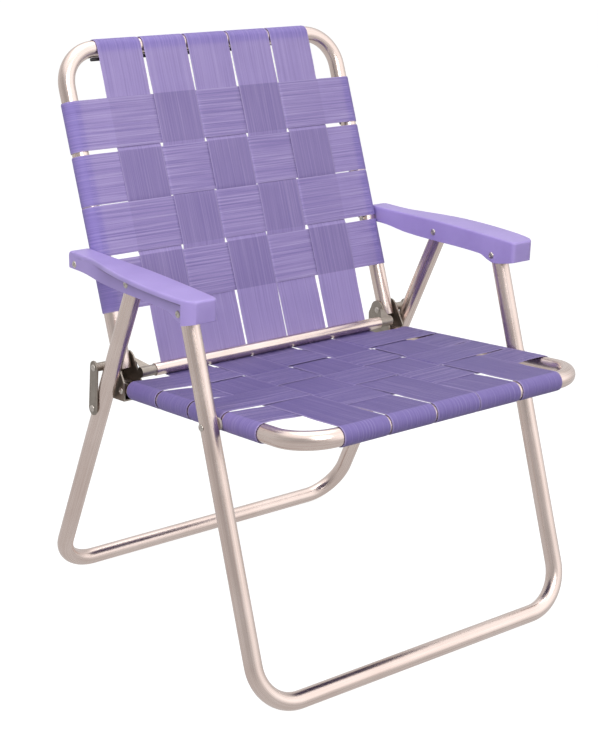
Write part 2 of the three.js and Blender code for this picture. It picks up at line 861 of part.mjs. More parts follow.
// The stretch of each long strap that bends at the hinge: round behind the cross tube
function hingeStrap([from, to]) {
  const steps = 8;
  const innerRadius = crossReach - webHeight - strapThickness / 2;
  const startTurn = Math.atan2(-seatNormal.z, -seatNormal.y) / degree;
  const endTurn = Math.atan2(-backNormal.z, -backNormal.y) / degree;
  const top = add(crossTube, backUp, hingeStrapUpper - clearance * 2);
  const [inner, outer] = [innerRadius, innerRadius + strapThickness].map((radius) => [
    ...arcPoints(crossTube, radius, startTurn, endTurn, steps),
    add(top, backNormal, -radius),
  ]);
  return sideSlab([...inner, ...outer.reverse()], from, to);
}

columnSpans.forEach((span, column) => {
  place(`hinge_strap_${column + 1}`, hingeStrap(span), webbing);
});

export default chair;
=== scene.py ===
import math
import random
from functools import partial

import bmesh
import bpy
from mathutils import Matrix, Vector


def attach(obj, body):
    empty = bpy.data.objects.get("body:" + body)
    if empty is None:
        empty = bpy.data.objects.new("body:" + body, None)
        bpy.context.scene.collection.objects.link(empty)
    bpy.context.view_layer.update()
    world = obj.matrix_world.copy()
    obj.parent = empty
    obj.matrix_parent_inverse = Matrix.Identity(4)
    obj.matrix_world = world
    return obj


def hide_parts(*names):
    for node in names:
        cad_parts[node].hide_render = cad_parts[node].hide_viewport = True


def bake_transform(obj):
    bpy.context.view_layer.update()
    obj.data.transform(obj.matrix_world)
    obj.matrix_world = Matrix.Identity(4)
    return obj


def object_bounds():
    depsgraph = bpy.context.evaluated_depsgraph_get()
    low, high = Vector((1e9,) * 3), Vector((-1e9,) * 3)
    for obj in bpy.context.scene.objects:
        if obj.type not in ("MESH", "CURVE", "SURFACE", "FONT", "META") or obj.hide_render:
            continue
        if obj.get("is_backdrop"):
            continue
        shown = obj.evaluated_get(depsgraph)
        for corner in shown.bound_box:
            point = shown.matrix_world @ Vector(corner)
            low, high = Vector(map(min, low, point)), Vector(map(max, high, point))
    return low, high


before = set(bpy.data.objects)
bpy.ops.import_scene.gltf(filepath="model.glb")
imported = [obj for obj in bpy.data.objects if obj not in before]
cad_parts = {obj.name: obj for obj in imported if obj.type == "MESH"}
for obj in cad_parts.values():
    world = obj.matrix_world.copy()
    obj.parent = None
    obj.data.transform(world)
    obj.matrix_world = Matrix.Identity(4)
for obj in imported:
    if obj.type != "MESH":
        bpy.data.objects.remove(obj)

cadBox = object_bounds()
mm = 0.001
acrossX = Vector((1, 0, 0))


def sideVector(y, z):
    return Vector((0, y, z))


# The side view: points as (y, z) behind the origin and above the floor
side = {
    "legPivot": sideVector(-139.858, 386.0),
    "backPivot": sideVector(142.142, 395.5),
    "armFrontPivot": sideVector(-92.358, 532.0),
    "armRearPivot": sideVector(189.642, 541.5),
    "rearLegPivot": sideVector(42.643, 542.997),
    "linkPin": sideVector(149.537, 330.7),
    "frontFoot": sideVector(-261.308, 12.7),
    "rearFoot": sideVector(309.642, 12.7),
    "seatBar": sideVector(-308.042, 402.639),
    "seatHinge": sideVector(138.478, 358.464),
    "backBar": sideVector(298.752, 836.525),
    "backFoot": sideVector(139.839, 396.332),
    "crossTube": sideVector(110.227, 385.577),
}
seatForward = sideVector(-0.99514, 0.09845)
seatNormal = sideVector(0.09845, 0.99514)
backUp = sideVector(0.33956, 0.94058)
backNormal = sideVector(-0.94058, 0.33956)
frontLegUp = (side["armFrontPivot"] - side["legPivot"]).normalized()
rearLegUp = (side["rearLegPivot"] - side["rearFoot"]).normalized()

tube = {
    "radius": 12.7, "wall": 1.2, "sides": 40, "bendSteps": 20, "barSteps": 24, "sideSteps": 24,
    "lip": 0.45, "bendFlat": 0.025,
    "frameHalfWidth": 251.5, "legHalfWidth": 282.0, "frameBend": 56, "legBend": 64,
}


def sharpEdges(bm, degrees):
    limit = math.radians(degrees)
    for edge in bm.edges:
        if len(edge.link_faces) == 2:
            edge.smooth = edge.calc_face_angle(0) < limit
    for face in bm.faces:
        face.smooth = True


def newObject(name, bm, material, sharpAt=38, outward=True):
    if outward:
        bmesh.ops.recalc_face_normals(bm, faces=bm.faces)
    sharpEdges(bm, sharpAt)
    mesh = bpy.data.meshes.new(name)
    bm.to_mesh(mesh)
    bm.free()
    obj = bpy.data.objects.new(name, mesh)
    bpy.context.scene.collection.objects.link(obj)
    mesh.materials.append(material)
    return obj


def finish(obj, body, slot, *replaced):
    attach(obj, body)
    if replaced:
        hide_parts(*replaced)


# A grid of rings made into a closed mesh. Each ring is a list of points in millimetres.
def ringMesh(rings, uvs=None, joinEnds=False, capEnds=False, paintedShadeRows=None):
    bm = bmesh.new()
    uvLayer = bm.loops.layers.uv.new("strapMap") if uvs else None
    tone = bm.verts.layers.float_color.new("backing") if paintedShadeRows else None
    grid = [[bm.verts.new(point * mm) for point in ring] for ring in rings]
    if tone:
        for ring, values in zip(grid, paintedShadeRows):
            for vert, value in zip(ring, values):
                vert[tone] = value
    count = len(rings[0])
    rows = len(rings)
    for i in range(rows if joinEnds else rows - 1):
        for j in range(count):
            k, l = (i + 1) % rows, (j + 1) % count
            face = bm.faces.new((grid[i][j], grid[i][l], grid[k][l], grid[k][j]))
            if uvLayer:
                corners = ((i, j), (i, j + 1), (i + 1, j + 1), (i + 1, j))
                for loop, (a, b) in zip(face.loops, corners):
                    loop[uvLayer].uv = uvs(a, b)
    if capEnds:
        for ring, row in ((grid[0], 0), (grid[-1], rows - 1)):
            face = bm.faces.new(ring)
            if uvLayer:
                for b, loop in enumerate(face.loops):
                    loop[uvLayer].uv = uvs(row, b)
    return bm


def fullTurn(sides):
    return [2 * math.pi * j / sides for j in range(sides)]


# Rings round a line along X, one for each (x, radius) of a profile
def turnedRings(centre, profile, sides):
    ways = [sideVector(math.cos(a), math.sin(a)) for a in fullTurn(sides)]
    return [[centre + acrossX * x + way * r for way in ways] for x, r in profile]


# The outline of a round or flat bar from x0 to x1, both of its rims broken
def brokenRims(x0, x1, radius, edge):
    near = edge * 0.3
    return [(x0, radius - edge), (x0 + near, radius - near), (x0 + edge, radius),
            (x1 - edge, radius), (x1 - near, radius - near), (x1, radius - edge)]


def linear(code):
    channels = [int(code[i:i + 2], 16) / 255 for i in (1, 3, 5)]
    return [c / 12.92 if c <= 0.04045 else ((c + 0.055) / 1.055) ** 2.4 for c in channels] + [1]


# Adds one node: inputs are plain values or sockets to link, and out is the output that it gives
# back, or None for the node itself. A kind without "Node" in it is a shader node.
def addNode(tree, kind, inputs=None, out=0, stops=None, **settings):
    made = tree.nodes.new(kind if "Node" in kind else "ShaderNode" + kind)
    for key, value in settings.items():
        setattr(made, key, value)
    for key, value in (inputs or {}).items():
        if isinstance(value, bpy.types.NodeSocket):
            tree.links.new(value, made.inputs[key])
        else:
            made.inputs[key].default_value = value
    if stops:
        elements = made.color_ramp.elements
        elements[0].position, elements[0].color = stops[0]
        elements[-1].position, elements[-1].color = stops[-1]
        for position, colour in stops[1:-1]:
            elements.new(position).color = colour
    return made.outputs[out] if out is not None and made.outputs else made


def startMaterial(name):
    material = bpy.data.materials.new(name)
    material.use_nodes = True
    tree = material.node_tree
    tree.nodes.clear()
    return material, partial(addNode, tree)


# The stops of a colour ramp between a finish's dark and light tones
def toneStops(look):
    low, high = look["stops"]
    return [(low, linear(look["dark"])), (high, linear(look["light"]))]


# A noise runs from about 0.3 to 0.7, and the roughness follows it between two values
def roughInputs(value, look):
    low, high = look["roughness"]
    return {"Value": value, "From Min": 0.3, "From Max": 0.7, "To Min": low, "To Max": high}


# The end of each finish: its relief (strength, depth in mm), its shader and the output
def endMaterial(add, height, relief, shaderInputs):
    strength, depth = relief
    bump = add("Bump", {"Height": height, "Strength": strength, "Distance": depth * mm})
    shader = add("BsdfPrincipled", {"Normal": bump, **shaderInputs})
    add("OutputMaterial", {"Surface": shader})


tubeFinish = {
    "light": "#E6D7D0", "dark": "#C6B1A8", "stops": (0.25, 0.7), "roughness": (0.21, 0.33),
    "drawn": (6, 420, 1), "lines": {"Scale": 1.0, "Detail": 3, "Roughness": 0.6},
    "cloud": {"Scale": 9, "Detail": 4, "Roughness": 0.55}, "cloudShare": 0.45, "relief": (0.12, 0.1),
}


# Drawn aluminium tube, etched and clear anodised: a soft satin shine with faint lines along it
def satinAluminium(name, look):
    material, add = startMaterial(name)
    uv = add("UVMap", uv_map="strapMap")
    place = add("TexCoord", out="Object")
    drawn = add("Mapping", {"Vector": uv, "Scale": look["drawn"]})
    lines = add("TexNoise", {"Vector": drawn, **look["lines"]})
    cloud = add("TexNoise", {"Vector": place, **look["cloud"]})
    both = add("Mix", {"Factor": look["cloudShare"], "A": lines, "B": cloud})
    colour = add("ValToRGB", {"Fac": both}, stops=toneStops(look))
    rough = add("MapRange", roughInputs(both, look))
    endMaterial(add, lines, look["relief"], {"Base Color": colour, "Metallic": 1.0, "Roughness": rough})
    return material


plateFinish = {
    "light": "#A79E95", "dark": "#877F77", "stops": (0.3, 0.65), "roughness": (0.38, 0.54),
    "cloud": {"Scale": 60, "Detail": 5, "Roughness": 0.6}, "speck": 0.9, "speckShare": 0.25,
    "relief": (0.2, 0.2),
}


# Pressed steel, zinc plated and passivated: dull grey, a little cloudy
def zincPlatedSteel(name, look):
    material, add = startMaterial(name)
    place = add("TexCoord", out="Object")
    cloud = add("TexNoise", {"Vector": place, **look["cloud"]})
    specks = add("TexVoronoi", {"Vector": place, "Scale": 1000 / look["speck"]})
    mixed = add("Mix", {"Factor": look["speckShare"], "A": cloud, "B": specks})
    colour = add("ValToRGB", {"Fac": mixed}, stops=toneStops(look))
    rough = add("MapRange", roughInputs(cloud, look))
    endMaterial(add, mixed, look["relief"], {"Base Color": colour, "Metallic": 1.0, "Roughness": rough})
    return material


# Aluminium blind rivets and screws: brighter than the tube, with small handling marks
rivetFinish = {
    "light": "#D2CAC3", "dark": "#9D958E", "stops": (0.3, 0.6), "relief": (0.15, 0.2),
    "grain": {"Scale": 700, "Detail": 3, "Roughness": 0.6}, "shader": {"Metallic": 1.0, "Roughness": 0.34},
}
# Turned nylon: dull, slightly waxy, a fine turned grain between two tones
nylonFinish = {
    "stops": (0.2, 0.8), "relief": (0.2, 0.2), "grain": {"Scale": 900, "Detail": 3, "Roughness": 0.6},
    "shader": {"Roughness": 0.5, "IOR": 1.53},
}
darkNylonFinish = {**nylonFinish, "dark": "#1F1C1D", "light": "#3C3737"}
paleNylonFinish = {**nylonFinish, "dark": "#A39892", "light": "#C2B8B2"}


# A finish with one fine grain, which moves its colour and its relief
def grained(name, look):
    material, add = startMaterial(name)
    place = add("TexCoord", out="Object")
    grain = add("TexNoise", {"Vector": place, **look["grain"]})
    colour = add("ValToRGB", {"Fac": grain}, stops=toneStops(look))
    endMaterial(add, grain, look["relief"], {"Base Color": colour, **look["shader"]})
    return material


# The recess colour is painted shade, laid on the wall just under the armrest's lip
armFinish = {
    "light": "#B7A4E4", "dark": "#AA97D8", "recess": "#4B3A5C", "stops": (0.3, 0.7), "relief": (0.18, 0.3),
    "cloud": {"Scale": 14, "Detail": 3, "Roughness": 0.5}, "roughness": (0.34, 0.5),
    "grain": {"Scale": 1000 / 0.9, "Detail": 2, "Roughness": 0.5},
    "shader": {
        "IOR": 1.49, "Subsurface Weight": 0.06, "Subsurface Radius": (0.004, 0.003, 0.005),
        "Subsurface Scale": 1.0,
    },
}


# Injection moulded polypropylene: satin, fine spark-eroded grain, faint flow clouds, and a darker
# painted shade line under the lip
def mouldedPlastic(name, look):
    material, add = startMaterial(name)
    place = add("TexCoord", out="Object")
    cloud = add("TexNoise", {"Vector": place, **look["cloud"]})
    grain = add("TexNoise", {"Vector": place, **look["grain"]})
    clean = add("ValToRGB", {"Fac": cloud}, stops=toneStops(look))
    backing = add("Attribute", attribute_name="backing")
    # The tone attribute's red channel is the painted shade under the lip
    paintedLipShade = add("SeparateColor", {"Color": backing})
    colour = add("Mix", {"Factor": paintedLipShade, "A": clean, "B": linear(look["recess"])}, 2, data_type="RGBA")
    rough = add("MapRange", roughInputs(grain, look))
    endMaterial(add, grain, look["relief"], {"Base Color": colour, "Roughness": rough, **look["shader"]})
    return material


# crossLines and longLines set how strongly the woven lines show: the lines are the webbing's own pattern,
# and their greater strength on cross straps is painted sheen for the straps' direction
strap = {
    "width": 76.2, "thickness": 1.2, "gap": 0.4, "rise": 0.8, "wrapTurn": 247.5, "wrapSteps": 26,
    "columns": 5, "columnSpacing": 2.4, "ribs": 15, "ribDepth": 0.3, "perRib": 4, "step": 5.0,
    "ribStrengths": (0.1, 0.35, 0.6, 0.9), "deepRib": 1.6, "drift": 0.22,
    "easeColumn": 2.5, "easeRow": 3.4, "edge": 0.5, "blur": 0.5, "drawnIn": 0.8,
    "crossPaintedShade": 0.35, "crossLines": 1.0, "longLines": 0.5, "wrapCalm": 0.7, "wrapShade": 0.4,
    "leanFrom": 180, "leanOver": 72, "fadeFrom": 30, "fadeOver": 26, "tubeReach": (13, 11),
    "hingeSteps": 12, "hingePaintedShade": 0.6, "hingeReach": 48,
}
weave = {
    "singlePaintedBacklight": "#A594CB", "doublePaintedShade": "#8D7DB2", "paintedTubeShade": "#8A7AC4", "deep": "#63558F",
    "darkLine": "#66579A", "lightLine": "#C0B2DA", "selvedge": "#B5A6D3", "sheen": "#C9BBF0",
    "pick": 2.2, "end": 1.27, "line": 2.6, "threadShare": 0.1, "lineHeight": 1.4,
    "lines": {"Scale": 1.0, "Detail": 3, "Roughness": 0.65},
    "cloud": {"Scale": 11, "Detail": 3, "Roughness": 0.5},
    "roughness": (0.46, 0.64), "relief": (0.6, 0.2),
    "shader": {"IOR": 1.48, "Sheen Weight": 0.12, "Sheen Roughness": 0.35},
}


# Woven polypropylene webbing: warp lines along the strap, crossed by fine picks, a waxy sheen.
# Light through the open weave is painted into the colour: a strap is painted paler where it lies
# single than over a second strap. Real picks lie about 1 mm apart; they are drawn at twice that so
# that they show.
def wovenWebbing(name, look):
    material, add = startMaterial(name)
    uv = add("UVMap", uv_map="strapMap")
    parts = add("SeparateXYZ", {"Vector": uv}, None).outputs
    backing = add("Attribute", out=None, attribute_name="backing").outputs
    tones = add("SeparateColor", {"Color": backing["Color"]}, None).outputs
    place = add("TexCoord", out="Object")
    waves = []
    for run, spacing in ((parts["Y"], look["end"]), (parts["X"], look["pick"])):
        turn = add("Math", {0: run, 1: 2 * math.pi / (spacing * mm)}, operation="MULTIPLY")
        waves.append(add("Math", {0: turn}, operation="SINE"))
    thread = add("Math", {0: waves[0], 1: waves[1]}, operation="MULTIPLY")
    drawn = add("Mapping", {"Vector": uv, "Scale": (4, 1000 / look["line"], 1)})
    lines = add("TexNoise", {"Vector": drawn, **look["lines"]})
    cloud = add("TexNoise", {"Vector": place, **look["cloud"]})
    texture = add("Math", {0: thread, 1: look["threadShare"], 2: lines}, operation="MULTIPLY_ADD")
    half = strap["width"] / 2
    offMiddle = add("Math", {0: parts["Y"], 1: half * mm}, operation="SUBTRACT")
    fromMiddle = add("Math", {0: offMiddle}, operation="ABSOLUTE")
    base = add("Mix", {
        "Factor": tones["Red"], "A": linear(look["singlePaintedBacklight"]), "B": linear(look["doublePaintedShade"]),
    }, 2, data_type="RGBA")
    # Each colour comes in as a value goes from low to high, up to a largest share
    # The tube shade, seat shade and double-layer tone here are painted shade; the lines' strength by strap
    # is partly painted sheen
    layersOfColour = [
        (tones["Green"], 0, 1, 0.8, None, "paintedTubeShade"), (cloud, 0.4, 0.7, 0.12, None, "darkLine"),
        (backing["Alpha"], 0, 1, 1, None, "deep"), (texture, 0.5, 0.3, 0.7, tones["Blue"], "darkLine"),
        (texture, 0.52, 0.70, 0.75, tones["Blue"], "lightLine"),
        (fromMiddle, (half - 2.2) * mm, (half - 0.9) * mm, 0.5, None, "selvedge"),
    ]
    for value, low, high, most, strength, colour in layersOfColour:
        limits = {"Value": value, "From Min": low, "From Max": high, "To Max": most}
        share = add("MapRange", limits)
        if strength:
            share = add("Math", {0: share, 1: strength}, operation="MULTIPLY")
        pair = {"Factor": share, "A": base, "B": linear(look[colour])}
        base = add("Mix", pair, 2, data_type="RGBA")
    height = add("Math", {0: lines, 1: look["lineHeight"], 2: thread}, operation="MULTIPLY_ADD")
    rough = add("MapRange", roughInputs(lines, look))
    endMaterial(add, height, look["relief"], {
        "Base Color": base, "Roughness": rough, "Sheen Tint": linear(look["sheen"]), **look["shader"],
    })
    return material


aluminium = satinAluminium("satinAnodisedAluminium", tubeFinish)
zinc = zincPlatedSteel("zincPlatedSteel", plateFinish)
rivetMetal = grained("brightAluminiumRivet", rivetFinish)
plastic = mouldedPlastic("mouldedLilacPolypropylene", armFinish)
webbing = wovenWebbing("wovenLilacPolypropylene", weave)
darkNylon = grained("darkTurnedNylon", darkNylonFinish)
paleNylon = grained("paleTurnedNylon", paleNylonFinish)
print("materials made")


# A U of tube in one plane: a bar at `bar`, and two arms that run along `way`. Each station is
# (point, tangent, how far the tube flattens there).
def uPath(bar, way, halfWidth, bend, reach):
    arms = []
    for sign in (-1, 1):
        bendCentre = bar + acrossX * sign * (halfWidth - bend) + way * bend
        points = []
        for i in range(tube["sideSteps"]):
            along = reach + (bend - reach) * i / tube["sideSteps"]
            points.append((bar + acrossX * sign * halfWidth + way * along, way * sign, 0))
        for i in range(tube["bendSteps"] + 1):
            turn = i / tube["bendSteps"] * math.pi / 2
            point = bendCentre + acrossX * sign * bend * math.cos(turn) - way * bend * math.sin(turn)
            tangent = acrossX * math.sin(turn) + way * sign * math.cos(turn)
            points.append((point, tangent, math.sin(2 * turn)))
        arms.append(points)
    first, last = arms[0][-1][0], arms[1][-1][0]
    middle = [(first.lerp(last, i / tube["barSteps"]), acrossX, 0) for i in range(1, tube["barSteps"])]
    return arms[0] + middle + arms[1][::-1]


def runLengths(points):
    lengths = [0.0]
    for a, b in zip(points, points[1:]):
        lengths.append(lengths[-1] + (b - a).length)
    return lengths


# A tube swept along its stations, with a bore and a small broken lip at both ends
def tubeAlong(name, path, planeNormal, radius, wall):
    lip, sides = tube["lip"], tube["sides"]
    lipSteps = [(0, lip), (lip * 0.35, lip * 0.25), (lip, 0)]
    (first, firstWay, _), (last, lastWay, _) = path[0], path[-1]
    stations = [(first + firstWay * inset, firstWay, 0, radius - drop) for inset, drop in lipSteps]
    stations += [(p, t, f, radius) for p, t, f in path[1:-1]]
    stations += [(last - lastWay * inset, lastWay, 0, radius - drop) for inset, drop in lipSteps[::-1]]
    stations += [(p, t, f, radius - wall) for p, t, f in reversed(path)]
    lengths = runLengths([station[0] for station in stations])
    lengths.append(lengths[-1] + 1)
    rings = []
    for point, tangent, flat, r in stations:
        inPlane = planeNormal.cross(tangent).normalized()
        squeeze = 1 - tube["bendFlat"] * flat
        rings.append([
            point + inPlane * r * squeeze * math.cos(a) + planeNormal * r * math.sin(a) / squeeze
            for a in fullTurn(sides)
        ])
    girth = 2 * math.pi * radius
    uvs = lambda a, b: (lengths[a] * mm, b / sides * girth * mm)
    return newObject(name, ringMesh(rings, uvs, joinEnds=True), aluminium, sharpAt=50)


# Each U of tube: where its bar lies, the way its arms run and how far, its kind, body and CAD node
uTubes = {
    "frontLegLoop": ("frontFoot", frontLegUp, 560.09, "leg", "front_leg", "front_leg_loop"),
    "rearLegLoop": ("rearFoot", rearLegUp, 602.80, "leg", "rear_leg", "rear_leg_loop"),
    "seatTube": ("seatBar", -seatForward, 469.51, "frame", "seat_frame", "seat_frame_tube"),
    "backTube": ("backBar", -backUp, 478.0, "frame", "back_frame", "back_frame_tube"),
}
for name, (bar, way, reach, kind, body, node) in uTubes.items():
    path = uPath(side[bar], way, tube[kind + "HalfWidth"], tube[kind + "Bend"], reach)
    obj = tubeAlong(name, path, way.cross(acrossX).normalized(), tube["radius"], tube["wall"])
    finish(obj, body, "aluminium_tube", node)

crossTube = {"halfLength": 214.0, "radius": 9.5, "wall": 1.1, "steps": 15}
crossPath = [
    (side["crossTube"] + acrossX * crossTube["halfLength"] * i / crossTube["steps"], acrossX, 0)
    for i in range(-crossTube["steps"], crossTube["steps"] + 1)
]
obj = tubeAlong("crossTube", crossPath, seatNormal, crossTube["radius"], crossTube["wall"])
finish(obj, "seat_frame", "aluminium_tube", "cross_tube")
print("tubes made")


wrapRadius = tube["radius"] + strap["gap"] + strap["thickness"] / 2
# A panel's shade paints it darker: the seat gets painted shade for the light from below that it lacks, the
# back none
panels = {
    "seat": {
        "bar": side["seatBar"], "inward": -seatForward, "normal": seatNormal, "body": "seat_frame",
        "rowStarts": (79.9, 160.6, 239.0, 322.0), "cornerCrossOver": False, "sag": 3.0, "shade": 1.0,
        "toHinge": 417.91, "nearLeans": (6.0, 9.0, 14.0, 15.0), "spread": 0.05,
    },
    "back": {
        "bar": side["backBar"], "inward": -backUp, "normal": backNormal, "body": "back_frame",
        "rowStarts": (77.4, 158.6, 235.1, 317.4), "cornerCrossOver": True, "sag": 1.0, "shade": 0.0,
        "toHinge": 488.17, "nearLeans": (0, 0, 0, 0), "spread": 0,
    },
}
columnPitch = strap["width"] + strap["columnSpacing"]
columnStarts = [-195.3 + i * columnPitch for i in range(strap["columns"])]


def smooth(t):
    t = min(max(t, 0.0), 1.0)
    return t * t * (3 - 2 * t)


def crossIsOver(panel, row, column):
    return ((row + column) % 2 == 0) == panel["cornerCrossOver"]


# The height of a woven strap at one place along it: over some of its neighbours, under others
def weaveHeight(place, starts, isOver, ease):
    middles = [start + strap["width"] / 2 for start in starts]
    levels = [strap["rise"] if isOver(i) else -strap["rise"] for i in range(len(starts))]
    if place <= middles[0]:
        return levels[0] * smooth((place - starts[0] + strap["fadeFrom"]) / strap["fadeOver"])
    if place >= middles[-1]:
        pastEnd = starts[-1] + strap["width"] + strap["fadeFrom"] - place
        return levels[-1] * smooth(pastEnd / strap["fadeOver"])
    for i in range(len(starts) - 1):
        if place <= middles[i + 1]:
            edge = (starts[i] + strap["width"] + starts[i + 1]) / 2
            share = smooth((place - edge + ease) / (2 * ease))
            return levels[i] + (levels[i + 1] - levels[i]) * share
    return 0.0


# How far the woven panel hangs below its plane
def panelSag(panel, x, along):
    acrossShare = max(0.0, 1 - (x / tube["frameHalfWidth"]) ** 2)
    span = panel["toHinge"]
    alongShare = max(0.0, math.sin(math.pi * min(max(along / span, 0), 1)))
    return -panel["sag"] * acrossShare * alongShare


# The part of a strap that goes round its tube, from its end up to where it leaves the tube
def wrapStations(centre, outward, normal, tone):
    path = []
    for i in range(strap["wrapSteps"], 0, -1):
        turn = math.radians(strap["wrapTurn"]) * i / strap["wrapSteps"]
        out = outward * math.sin(turn) + normal * math.cos(turn)
        path.append((centre + out * wrapRadius, out, tone))
    return path


# A strap swept along stations of (point, up, tone), with ribs along it. Rib depths and a slow
# sideways drift differ a little from strap to strap. The tone holds painted light: (layers for the
# double-layer shade, painted tube shade, line strength, painted seat shade).
def strapMesh(name, path, lateral, seed, replaced, spread=0, lean=None):
    rng = random.Random(seed)
    ribs, perRib = strap["ribs"], strap["perRib"]
    columns = ribs * perRib
    strength = [rng.choice(strap["ribStrengths"]) for _ in range(ribs + 1)]
    strength[round(rng.uniform(0.35, 0.65) * ribs)] = strap["deepRib"]
    width = strap["width"] - strap["drawnIn"]
    drift = [rng.uniform(-strap["drift"], strap["drift"]) for _ in range(3)]
    lengths = runLengths([station[0] for station in path])
    total = lengths[-1]
    rings, paintedShadeRows = [], []
    for (point, up, tone), run in zip(path, lengths):
        share = run / total
        shift = sum(drift[k] * math.sin((k + 1) * math.pi * share + k) for k in range(3))
        shift += lean(share) if lean else 0
        calm = strap["ribDepth"] * (1 - strap["wrapCalm"] * tone[1])
        upper, lower = [], []
        for j in range(columns + 1):
            across = width * (j / columns - 0.5) * (1 + spread * tone[1])
            phase = j / perRib
            depth = calm * strength[round(phase)] * (0.5 + 0.5 * math.cos(2 * math.pi * phase))
            fromEdge = min(j, columns - j) / perRib
            body = strap["thickness"] / 2 * (strap["edge"] + (1 - strap["edge"]) * smooth(fromEdge / 0.5))
            if 0 < j < columns:
                body -= depth * 0.5 - strap["ribDepth"] * 0.16
            place = point + lateral * (across + shift)
            upper.append(place + up * body)
            lower.append(place - up * body)
        rings.append(upper + lower[::-1])
        paintedShadeRows.append([tone] * len(rings[-1]))
    count = columns + 1

    def uvs(a, b):
        b = b % (2 * count)
        j = b if b < count else 2 * count - 1 - b
        return (lengths[min(a, len(lengths) - 1)] * mm + seed, strap["width"] * j / columns * mm)

    obj = newObject(name, ringMesh(rings, uvs, capEnds=True, paintedShadeRows=paintedShadeRows), webbing, sharpAt=60)
    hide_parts(*replaced)
    return obj, total


# Where stations lie along a strap: evenly, and close on both sides of each crossing's edges
def stations(first, last, starts):
    steps = round((last - first) / strap["step"])
    places = [first + (last - first) * i / steps for i in range(steps + 1)]
    edges = [e for start in starts for e in (start, start + strap["width"])]
    near = [e + side for e in edges for side in (-strap["blur"], strap["blur"]) if first < e + side < last]
    kept = [p for p in places if all(abs(p - q) > 0.8 for q in near) or p in (first, last)]
    return sorted(kept + near)


def layersAt(place, starts):
    return float(any(start <= place <= start + strap["width"] for start in starts))


# How much painted tube shade a strap has, at some distance from the tube's middle
def tubeShadeShare(distance):
    ends, over = strap["tubeReach"]
    return smooth((ends - distance) / over)


# The near ends of the seat's cross straps are pulled to the rear
def nearLean(panel, row, x):
    return panel["inward"] * panel["nearLeans"][row] * smooth((-x - strap["leanFrom"]) / strap["leanOver"])


def crossStrapPath(panel, row):
    middle = panel["rowStarts"][row] + strap["width"] / 2
    origin = panel["bar"] + panel["inward"] * middle
    normal, end = panel["normal"], tube["frameHalfWidth"]
    isOver = lambda column: crossIsOver(panel, row, column)
    wrapTone = (0, 1, strap["crossLines"] * 0.5, panel["shade"] * strap["wrapShade"])
    path = wrapStations(origin + nearLean(panel, row, -end) - acrossX * end, -acrossX, normal, wrapTone)
    for x in stations(-end, end, columnStarts):
        height = wrapRadius + weaveHeight(x, columnStarts, isOver, strap["easeColumn"])
        height += panelSag(panel, x, middle)
        point = origin + nearLean(panel, row, x) + acrossX * x + normal * height
        # Cross straps get less of the painted double-layer shade, so they are painted lighter than the long
        # straps
        layers = strap["crossPaintedShade"] * layersAt(x, columnStarts)
        path.append((point, normal, (layers, tubeShadeShare(end - abs(x)), strap["crossLines"], panel["shade"])))
    return path + wrapStations(origin + acrossX * end, acrossX, normal, wrapTone)[::-1]


# From round the bar down to the last crossing and on to where the hinge bend begins
def longStrapRun(panel, column):
    x = columnStarts[column] + strap["width"] / 2
    origin = panel["bar"] + acrossX * x
    normal, inward, starts = panel["normal"], panel["inward"], panel["rowStarts"]
    isOver = lambda row: not crossIsOver(panel, row, column)
    wrapTone = (0, 1, strap["longLines"], panel["shade"] * strap["wrapShade"])
    path = wrapStations(origin, -inward, normal, wrapTone)
    for along in stations(0, panel["toHinge"], starts):
        height = wrapRadius + weaveHeight(along, starts, isOver, strap["easeRow"])
        height += panelSag(panel, x, along)
        tone = (layersAt(along, starts), tubeShadeShare(along), strap["longLines"], panel["shade"])
        path.append((origin + inward * along + normal * height, normal, tone))
    return path


def longStrapPath(column):
    back, seat = (longStrapRun(panels[name], column) for name in ("back", "seat"))
    centre = side["crossTube"] + acrossX * (columnStarts[column] + strap["width"] / 2)
    radius = crossTube["radius"] + strap["gap"] + strap["thickness"] / 2
    startTurn = math.atan2(-backNormal.z, -backNormal.y)
    endTurn = math.atan2(-seatNormal.z, -seatNormal.y)
    # The bend round the cross tube gets part of the painted tube shade
    tone = (0, strap["hingePaintedShade"], strap["longLines"], panels["seat"]["shade"])
    steps, bend = strap["hingeSteps"], []
    for i in range(1, steps):
        turn = startTurn + (endTurn - startTurn) * i / steps
        out = sideVector(math.cos(turn), math.sin(turn))
        bend.append((centre + out * radius, -out, tone))
    return back + bend + seat[::-1]


firstSeed = {"back": 10, "seat": 20, "long": 30}
for panelName, panel in panels.items():
    for row in range(len(panel["rowStarts"])):
        obj, total = strapMesh("%sCrossStrap%d" % (panelName, row + 1), crossStrapPath(panel, row),
                               panel["normal"].cross(acrossX), firstSeed[panelName] + row,
                               ["%s_cross_strap_%d" % (panelName, row + 1)], panel["spread"])
        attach(obj, panel["body"])

# Two long straps don't lie quite straight: the first leans at its top, the fourth further down
strapLeans = {
    0: lambda share: -1.3 * (1 - smooth((share - 0.2) / 0.2)),
    3: lambda share: -1.7 * smooth((share - 0.2) / 0.2),
}
hinge = {"start": side["backFoot"] * mm, "end": (side["backFoot"] + backUp * strap["hingeReach"]) * mm}
for column in range(strap["columns"]):
    replaced = [kind + "_strap_%d" % (column + 1) for kind in ("back_long", "hinge", "seat_long")]
    obj, total = strapMesh("longStrap%d" % (column + 1), longStrapPath(column), acrossX,
                           firstSeed["long"] + column, replaced, lean=strapLeans.get(column))
    tuple(hinge["start"])
    tuple(hinge["end"])
    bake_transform(obj)

